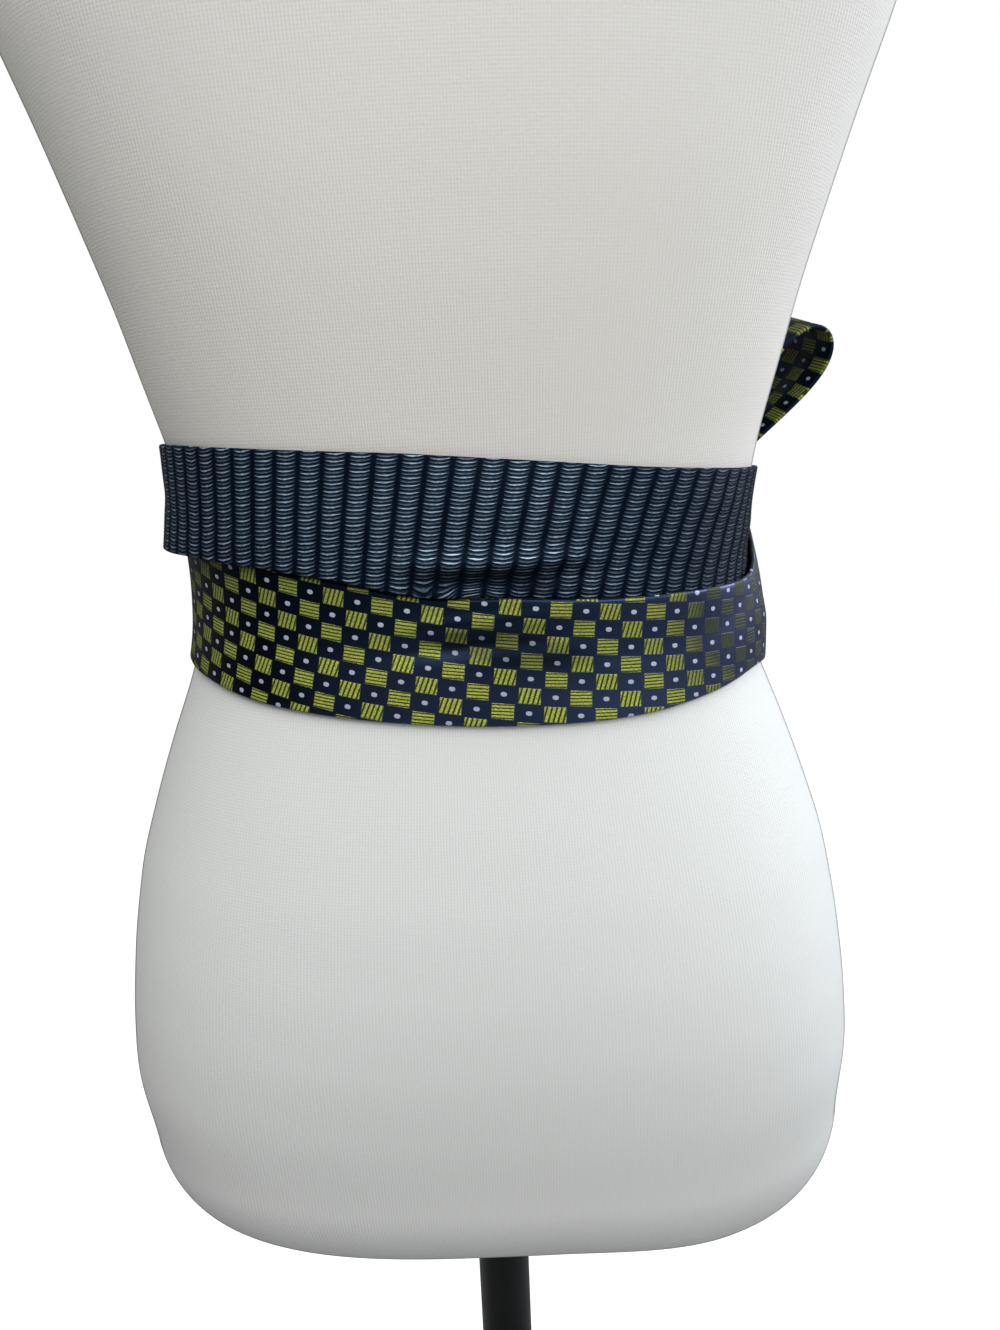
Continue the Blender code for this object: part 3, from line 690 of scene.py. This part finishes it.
square = product(
    check_weave,
    is_square,
    step_up(check_weave, from_x, SQUARE_HALF[0] + 0.02, SQUARE_HALF[0] - 0.02),
    step_up(check_weave, from_y, SQUARE_HALF[1] + 0.03, SQUARE_HALF[1] - 0.03),
)
upright = calc(check_weave, "MULTIPLY_ADD", in_y, 0.17, in_x)
upright = calc(check_weave, "MULTIPLY", upright, 5.3)
level = calc(check_weave, "MULTIPLY_ADD", in_x, 0.06, in_y)
level = calc(check_weave, "MULTIPLY", level, 5.2)
stripe = calc(check_weave, "SUBTRACT", level, upright)
stripe = calc(check_weave, "MULTIPLY_ADD", stripe, is_level, upright)
stripe = calc(check_weave, "SINE", calc(check_weave, "MULTIPLY", stripe, math.pi))
stripe = calc(check_weave, "ABSOLUTE", stripe)
hatch = calc(check_weave, "MULTIPLY", square, step_up(check_weave, stripe, 0.82, 0.32))
dot_x = calc(check_weave, "DIVIDE", off_x, DOT_HALF[0])
dot_y = calc(check_weave, "DIVIDE", off_y, DOT_HALF[1])
dot_x, dot_y = (calc(check_weave, "POWER", share, DOT_POWER) for share in (dot_x, dot_y))
dot_reach = calc(check_weave, "ADD", dot_x, dot_y)
dot = calc(check_weave, "MULTIPLY", is_blue, step_up(check_weave, dot_reach, 1.25, 0.75))
raised = calc(check_weave, "MULTIPLY_ADD", hatch, -0.55, square)
check_weave.links.new(square, put_out.inputs["Square"])
check_weave.links.new(hatch, put_out.inputs["Hatch"])
check_weave.links.new(dot, put_out.inputs["Dot"])
check_weave.links.new(calc(check_weave, "ADD", raised, dot), put_out.inputs["Height"])

# The trough pressed along the turn, darkened with painted shade, as a patch of the threads' map:
# middle, reach and slope
CHECK_TROUGH_PATCH = ((-0.0100, 0.0030), (0.0360, 0.0070), 0.0)
# Along and up the threads' map, in metres: where each part of the turn starts and is full: the end
# in painted shade, the side in painted light, the end with a painted glare and the two halves
SHADED_END = (0.015, 0.085)
LIT_SIDE = (0.000, -0.085)
GLARE_END = (-0.054, -0.106)
UPPER_HALF = (-0.014, 0.010)
LOWER_HALF = (0.008, -0.014)
# The satin's blue, its upper half darker with painted shade and its lower half lighter with painted
# light, and what the two ends and the lit side blend in: painted shade, a painted glare and painted
# light
BLUE = ((0.0110, 0.0230, 0.0480), (0.0340, 0.0530, 0.1120))
LIT_BLUE = ((0.0430, 0.0660, 0.1380), (0.0700, 0.1050, 0.2060))
SHADED_BLUE = (0.0052, 0.0084, 0.0190)
GLARE_BLUE = (0.0620, 0.0740, 0.1480)
# The olive threads: their own dark olive, and a pale painted highlight
OLIVE = ((0.155, 0.185, 0.010), (0.660, 0.750, 0.140))
OLIVE_HATCHING = (0.022, 0.026, 0.003)
SHADED_OLIVE = (0.032, 0.040, 0.024)
SILVER = (0.420, 0.450, 0.560)
TROUGH_SHADE = (0.0040, 0.0060, 0.0100)

check_silk, satin_shader = new_finish("check_silk", 0.40, specular=0.22)
tree = check_silk.node_tree
check, threads_place = place_group(tree, check_weave)
speck = noise(tree, threads_place, 2600.0, 1.0)
axes = tree.nodes.new("ShaderNodeSeparateXYZ")
tree.links.new(threads_place, axes.inputs[0])
shaded_end = step_up(tree, axes.outputs["X"], *SHADED_END)
on_back = step_up(tree, axes.outputs["X"], *ON_BACK)
lit_side = calc(tree, "MULTIPLY", step_up(tree, axes.outputs["X"], *LIT_SIDE), on_back)
glare_end = calc(tree, "MULTIPLY", step_up(tree, axes.outputs["X"], *GLARE_END), on_back)
upper_half = step_up(tree, axes.outputs["Y"], *UPPER_HALF)
glare_end = calc(tree, "MULTIPLY", glare_end, calc(tree, "MULTIPLY_ADD", upper_half, 0.45, 0.55))
lower_half = step_up(tree, axes.outputs["Y"], *LOWER_HALF)
# Painted light and shade on the satin's blue: darker high up and lighter low down, painted light on
# the lit side, a painted glare at one end and painted shade at the other
ground = blend_colours(tree, lower_half, *BLUE)
ground = blend_colours(tree, shaded_end, ground, SHADED_BLUE)
ground = blend_colours(tree, lit_side, ground, blend_colours(tree, lower_half, *LIT_BLUE))
ground = blend_colours(tree, glare_end, ground, GLARE_BLUE)
speck_shade = calc(tree, "MULTIPLY_ADD", speck, -0.5, 0.37)
ground = blend_colours(tree, speck_shade, ground, (0.0, 0.0, 0.0))
# Painted shade on the olive squares where the satin turns away from the view, at the glare end and
# in the upper half
turned_away = tree.nodes.new("ShaderNodeLayerWeight").outputs["Facing"]
olive_shade = calc(tree, "MULTIPLY_ADD", turned_away, 0.65, calc(tree, "MULTIPLY", glare_end, 0.95))
olive_shade = calc(tree, "ADD", olive_shade, calc(tree, "MULTIPLY_ADD", lower_half, -0.26, 0.26))
olive_shade.node.use_clamp = True
# The olive threads, speckled from their own dark olive up to a pale painted highlight
olive = blend_colours(tree, step_up(tree, speck, 0.30, 0.70), *OLIVE)
olive = blend_colours(tree, check["Hatch"], olive, OLIVE_HATCHING)
olive = blend_colours(tree, olive_shade, olive, SHADED_OLIVE)
colour = blend_colours(tree, check["Square"], ground, olive)
colour = blend_colours(tree, check["Dot"], colour, SILVER)
in_trough = calc(tree, "MULTIPLY", soft_patch(tree, axes, *CHECK_TROUGH_PATCH), 0.55)
colour = blend_colours(tree, in_trough, colour, TROUGH_SHADE)
tree.links.new(colour, satin_shader.inputs["Base Color"])
pattern = calc(tree, "MAXIMUM", check["Square"], check["Dot"])
metal = calc(tree, "MULTIPLY_ADD", pattern, -0.70, 0.90)
tree.links.new(metal, satin_shader.inputs["Metallic"])
roughness = calc(tree, "MULTIPLY_ADD", pattern, 0.16, 0.38)
tree.links.new(roughness, satin_shader.inputs["Roughness"])
bump(tree, satin_shader, check["Height"], 0.00012)

check_sash = wind_band("check_sash", CHECK_ROWS, CHECK_CREASES, check_threads, check_silk)
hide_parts("check_wrap")

# The bow's knot: the check silk wound twice over the bow's middle, in a soft barrel that bends so
# that it faces each loop squarely.
KNOT_AROUND = -40.0
KNOT_HEIGHT = 0.055
KNOT_STANDOFF = 0.0209
KNOT_LENGTH = 0.026
KNOT_DEEP = 0.0150
KNOT_TALL = 0.0175
KNOT_END_SHARE = 0.72
KNOT_WRAP_LIFT = 0.018
LOOP_ROOT_GAP = 0.0004
LOOP_ROOT_APART = 0.0036
LOOP_COLUMNS = ("name", "sideways", "outward", "up", "reach", "root", "breadth", "open", "turn")
LOOP_ROWS = (
    ("check_loop", 0.0268, 0.025, 0.0492, 0.0990, 0.0240, 0.0470, 0.0120, 31.5),
    ("ribbed_loop", -0.062, -0.009, -0.020, 0.0880, 0.0240, 0.0430, 0.0095, 0.0),
)
KNOT_STATIONS = 60
KNOT_SIDES = 96

knot_point, knot_out = form_point(KNOT_AROUND, KNOT_HEIGHT)
knot_middle = knot_point + knot_out * KNOT_STANDOFF
knot_side = Vector((0, 0, 1)).cross(knot_out) * -1


def loop_axis(row):
    """The direction from the knot to a loop's end fold."""
    way = knot_side * row["sideways"] + knot_out * row["outward"] + Vector((0, 0, row["up"]))
    return way.normalized()


loops = {row[0]: dict(zip(LOOP_COLUMNS, row)) for row in LOOP_ROWS}
up_axis, side_axis = loop_axis(loops["check_loop"]), loop_axis(loops["ribbed_loop"])
knot = bmesh.new()
bmesh.ops.create_grid(knot, x_segments=KNOT_SIDES, y_segments=KNOT_STATIONS, size=0.5)
wraps = {}
for vert in knot.verts:
    angle = 2 * math.pi * (vert.co.x + 0.5)
    along = 2 * (vert.co.y + 0.5) - 1
    centre = knot_middle + (up_axis if along > 0 else side_axis) * abs(along) * KNOT_LENGTH / 2
    axis = (up_axis * (1 + along) - side_axis * (1 - along)).normalized()
    deep = (knot_out - axis * knot_out.dot(axis)).normalized()
    tall = axis.cross(deep)
    rounding = math.sqrt(max(0.0, 1 - 0.96 * along**2))
    swell = KNOT_END_SHARE + (1 - KNOT_END_SHARE) * rounding
    wrap = math.sin(5 * math.pi * along + 1.6 * math.sin(angle))
    swell += KNOT_WRAP_LIFT * wrap * (1 - along**2)
    wraps[vert] = (angle * 0.016, along * KNOT_LENGTH / 2 + 0.003 * math.sin(angle))
    rim_place = deep * math.cos(angle) * KNOT_DEEP + tall * math.sin(angle) * KNOT_TALL
    vert.co = centre + rim_place * swell
weave_map = knot.loops.layers.uv.new("threads")
for face in knot.faces:
    for loop in face.loops:
        loop[weave_map].uv = wraps[loop.vert]
bmesh.ops.remove_doubles(knot, verts=knot.verts, dist=1e-6)
bmesh.ops.holes_fill(knot, edges=[edge for edge in knot.edges if edge.is_boundary], sides=0)
bmesh.ops.recalc_face_normals(knot, faces=knot.faces)
knot_wrap = add_piece("knot_wrap", knot, check_silk)
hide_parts("bow_knot")

# The bow's loops: each is one strip of the sash out from the knot, round a soft end fold and back
# to it, gathered narrow at the knot and spreading to its full breadth at the fold.
LOOP_STEPS = 200
LOOP_STATIONS = fold_stations(20, 4, 20)
LOOP_PLEATS = 2
PLEAT_LIFT = 0.0007


def build_loop(name, row, threads_at, material):
    """One bow loop, with pleats that run out from the knot and fade towards the end fold."""
    axis = loop_axis(row)
    broad = axis.cross(knot_out).normalized()
    deep = broad.cross(axis)
    turn = math.radians(row["turn"])
    broad, deep = (
        broad * math.cos(turn) + deep * math.sin(turn),
        deep * math.cos(turn) - broad * math.sin(turn),
    )
    root = KNOT_LENGTH / 2 + LOOP_ROOT_GAP
    path = []
    for step in range(LOOP_STEPS + 1):
        t = step / LOOP_STEPS
        along = root + (row["reach"] - root) * math.sin(math.pi * t)
        height = row["open"] * math.sin(2 * math.pi * t) * math.sin(math.pi * t)
        height += LOOP_ROOT_APART * math.cos(math.pi * t)
        path.append(Vector((along, height)))
    run = np.concatenate([[0], np.cumsum([(b - a).length for a, b in zip(path, path[1:])])])
    strip = bmesh.new()
    bmesh.ops.create_grid(strip, x_segments=LOOP_STEPS, y_segments=len(LOOP_STATIONS) - 1, size=0.5)
    threads = {}
    for vert in strip.verts:
        step = round((vert.co.x + 0.5) * LOOP_STEPS)
        share, roll, out_share = LOOP_STATIONS[round((vert.co.y + 0.5) * (len(LOOP_STATIONS) - 1))]
        along, height = path[step]
        way = (path[min(step + 1, LOOP_STEPS)] - path[max(step - 1, 0)]).normalized()
        out_of_loop = axis * way.y * -1 + deep * way.x
        spread = min(max((along - root) / (row["reach"] - root), 0.0), 1.0)
        breadth = row["root"] + (row["breadth"] - row["root"]) * spread**0.6 - CLOTH
        fade = (1 - spread) ** 0.7 * min(1, 8 * spread + 0.15)
        pleat = PLEAT_LIFT * fade * math.cos(2 * math.pi * LOOP_PLEATS * (share - 0.5))
        centre = knot_middle + axis * along + deep * height
        vert.co = (
            centre
            + broad * (breadth * (share - 0.5) + roll * CLOTH / 2)
            + out_of_loop * (CLOTH * out_share + pleat)
        )
        threads[vert] = threads_at(run[step], row["breadth"] * share)
    weave_map = strip.loops.layers.uv.new("threads")
    for face in strip.faces:
        for loop in face.loops:
            loop[weave_map].uv = threads[loop.vert]
    bmesh.ops.remove_doubles(strip, verts=strip.verts, dist=1e-6)
    bmesh.ops.holes_fill(strip, edges=[edge for edge in strip.edges if edge.is_boundary], sides=0)
    bmesh.ops.recalc_face_normals(strip, faces=strip.faces)
    piece = add_piece(name, strip, material)
    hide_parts(row["name"])
    return piece


# The check's cells are larger on its loop, with their long sides across the strip.
check_bow = build_loop(
    "check_bow_loop",
    loops["check_loop"],
    lambda run, across: (0.72 * across + 0.0052, 0.85 * run + 0.0033),
    check_silk,
)
ribbed_bow = build_loop(
    "ribbed_bow_loop", loops["ribbed_loop"], lambda run, across: (run, across), ribbed_silk
)

# The tails: the blades' free ends, which come out under the knot, hang over the hip and end in a
# necktie's point.
TAIL_COLUMNS = ("step", "around", "height", "off", "breadth")
CHECK_TAIL_ROWS = (
    (0, -36.0, 0.0400, 0.0080, 0.0120),
    (1, -34.5, 0.0200, 0.0110, 0.0220),
    (2, -33.0, -0.0050, 0.0104, 0.0340),
    (3, -31.0, -0.0350, 0.0044, 0.0420),
    (4, -31.0, -0.0750, 0.0008, 0.0460),
    (5, -31.5, -0.1060, 0.0008, 0.0480),
    (6, -32.0, -0.1320, 0.0012, 0.0030),
)
RIBBED_TAIL_ROWS = (
    (0, -45.0, 0.0400, 0.0080, 0.0120),
    (1, -48.0, 0.0200, 0.0110, 0.0200),
    (2, -52.0, -0.0050, 0.0104, 0.0320),
    (3, -55.0, -0.0350, 0.0044, 0.0400),
    (4, -57.0, -0.0700, 0.0008, 0.0430),
    (5, -58.0, -0.0960, 0.0008, 0.0440),
    (6, -58.5, -0.1200, 0.0012, 0.0030),
)
TAIL_STEPS = 150
TAIL_STATIONS = fold_stations(18, 4, 8)
GATHER_LENGTH = 0.07
RIPPLE_LIFT = 0.0006


def build_tail(name, rows, node, material):
    """One free end, laid down the form from under the knot to its point."""
    size = {key: soft_column(TAIL_COLUMNS, rows, key, 0.02, 0.22) for key in TAIL_COLUMNS[1:4]}
    widths = column_of(TAIL_COLUMNS, rows, "breadth")
    last = rows[-1][0]
    strip = bmesh.new()
    bmesh.ops.create_grid(strip, x_segments=TAIL_STEPS, y_segments=len(TAIL_STATIONS) - 1, size=0.5)
    threads = {}
    lines = {}
    run = 0.0
    before = None
    for step in range(TAIL_STEPS + 1):
        place = last * step / TAIL_STEPS
        around, height, off = (size[key](place) for key in TAIL_COLUMNS[1:4])
        centre, out = form_point(around, height)
        run += (centre + out * off - before).length if before else 0.0
        before = centre + out * off
        lines[step] = (run, around, height, off, float(np.interp(place, range(last + 1), widths)))
    for vert in strip.verts:
        run, around, height, off, breadth = lines[round((vert.co.x + 0.5) * TAIL_STEPS)]
        share, roll, out_share = TAIL_STATIONS[round((vert.co.y + 0.5) * (len(TAIL_STATIONS) - 1))]
        aside = (breadth - CLOTH) * (share - 0.5) + roll * CLOTH / 2
        centre = form_point(around, height)[0]
        per_degree = (form_point(around + 1, height)[0] - centre).length
        point, out = form_point(around + aside / per_degree, height)
        gathered = max(0.0, 1 - run / GATHER_LENGTH)
        ripple = RIPPLE_LIFT * gathered * math.cos(6 * math.pi * (share - 0.5))
        vert.co = point + out * (off + CLOTH * out_share + ripple)
        threads[vert] = (0.046 * (share - 0.5), run)
    weave_map = strip.loops.layers.uv.new("threads")
    for face in strip.faces:
        for loop in face.loops:
            loop[weave_map].uv = threads[loop.vert]
    bmesh.ops.remove_doubles(strip, verts=strip.verts, dist=1e-6)
    bmesh.ops.holes_fill(strip, edges=[edge for edge in strip.edges if edge.is_boundary], sides=0)
    bmesh.ops.recalc_face_normals(strip, faces=strip.faces)
    piece = add_piece(name, strip, material)
    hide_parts(node)
    return piece


check_end = build_tail("check_tail_end", CHECK_TAIL_ROWS, "check_tail", check_silk)
ribbed_end = build_tail("ribbed_tail_end", RIBBED_TAIL_ROWS, "ribbed_tail", ribbed_silk)

# The stand: a round steel base plate, a socket, a 25 mm pole and a collar under the form, all in
# black powder coat with a fine orange-peel.
powder_black, powder_shader = new_finish("stand_black", 0.36, specular=0.2)
tree = powder_black.node_tree
place = tree.nodes.new("ShaderNodeTexCoord").outputs["Object"]
peel = noise(tree, place, 1300.0)
dust = step_up(tree, noise(tree, place, 40.0, 4.0), 0.45, 0.8)
powder = blend_colours(tree, dust, (0.0026, 0.0032, 0.0036), (0.0044, 0.0050, 0.0056))
tree.links.new(powder, powder_shader.inputs["Base Color"])
tree.links.new(calc(tree, "MULTIPLY_ADD", dust, 0.12, 0.34), powder_shader.inputs["Roughness"])
bump(tree, powder_shader, peel, 0.00004)
for node in ("stand_base", "stand_socket", "stand_pole", "pole_collar"):
    for material_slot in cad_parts[node].material_slots:
        material_slot.material = powder_black

# The neck's plate: a disc of board that closes the top of the form, in off-white paint that the
# board's fibres show through.
cap_board, cap_shader = new_finish("cap_board", 0.6, specular=0.4)
tree = cap_board.node_tree
place = tree.nodes.new("ShaderNodeTexCoord").outputs["Object"]
fibre = noise(tree, place, 260.0, 4.0)
paint = blend_colours(tree, fibre, (0.560, 0.540, 0.500), (0.660, 0.640, 0.600))
tree.links.new(paint, cap_shader.inputs["Base Color"])
bump(tree, cap_shader, fibre, 0.00006)
for material_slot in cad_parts["form_neck_cap"].material_slots:
    material_slot.material = cap_board

# The studio: a plain pale floor, which lies half a millimetre under the base, a near-white
# surround and three soft lights.
FLOOR_HALF = 6.0
FLOOR_DROP = 0.0005

floor_edit = bmesh.new()
bmesh.ops.create_grid(floor_edit, x_segments=1, y_segments=1, size=FLOOR_HALF)
floor_mesh = bpy.data.meshes.new("floor")
floor_edit.to_mesh(floor_mesh)
floor_edit.free()
floor_mesh.transform(Matrix.Translation((0, 0, -FLOOR_DROP)))
floor = bpy.data.objects.new("floor", floor_mesh)
bpy.context.scene.collection.objects.link(floor)
floor_paint, floor_shader = new_finish("floor_paint", 0.9, specular=0.1)
tree = floor_paint.node_tree
place = tree.nodes.new("ShaderNodeTexCoord").outputs["Object"]
paint = blend_colours(tree, noise(tree, place, 3.0), (0.34, 0.34, 0.34), (0.36, 0.36, 0.36))
tree.links.new(paint, floor_shader.inputs["Base Color"])
seen = tree.nodes.new("ShaderNodeLightPath").outputs["Is Camera Ray"]
glow = blend_colours(tree, seen, (0.0, 0.0, 0.0), (0.92, 0.92, 0.92))
tree.links.new(glow, floor_shader.inputs["Emission Color"])
floor_shader.inputs["Emission Strength"].default_value = 1.0
floor_mesh.materials.append(floor_paint)

surround = bpy.data.worlds.new("surround")
surround.use_nodes = True
tree = surround.node_tree
seen = tree.nodes.new("ShaderNodeLightPath").outputs["Is Camera Ray"]
sky = blend_colours(tree, seen, (0.200, 0.204, 0.212), (1.0, 1.0, 1.0))
tree.links.new(sky, tree.nodes["Background"].inputs["Color"])
bpy.context.scene.world = surround
bpy.context.scene.view_settings.view_transform = "Standard"

LIGHT_COLUMNS = ("name", "at", "aim", "size", "watts", "colour")
LIGHT_ROWS = (
    ("window", (1.6, 0.45, 1.3), (0, 0, 0.65), 1.2, 28.0, (0.88, 0.92, 1.0)),
    ("room", (1.0, -1.5, 1.7), (0, 0, 0.65), 1.4, 24.0, (0.97, 0.98, 1.0)),
    ("overhead", (-0.5, -0.9, 2.3), (0, 0, 0.5), 1.6, 29.0, (1.0, 0.99, 0.97)),
)
for row in LIGHT_ROWS:
    light_row = dict(zip(LIGHT_COLUMNS, row))
    light = bpy.data.lights.new(light_row["name"], "AREA")
    light.size = light_row["size"]
    light.energy = light_row["watts"]
    light.color = light_row["colour"]
    lamp = bpy.data.objects.new(light_row["name"], light)
    bpy.context.scene.collection.objects.link(lamp)
    lamp.location = light_row["at"]
    toward = Vector(light_row["aim"]) - lamp.location
    lamp.rotation_euler = toward.to_track_quat("-Z", "Y").to_euler()
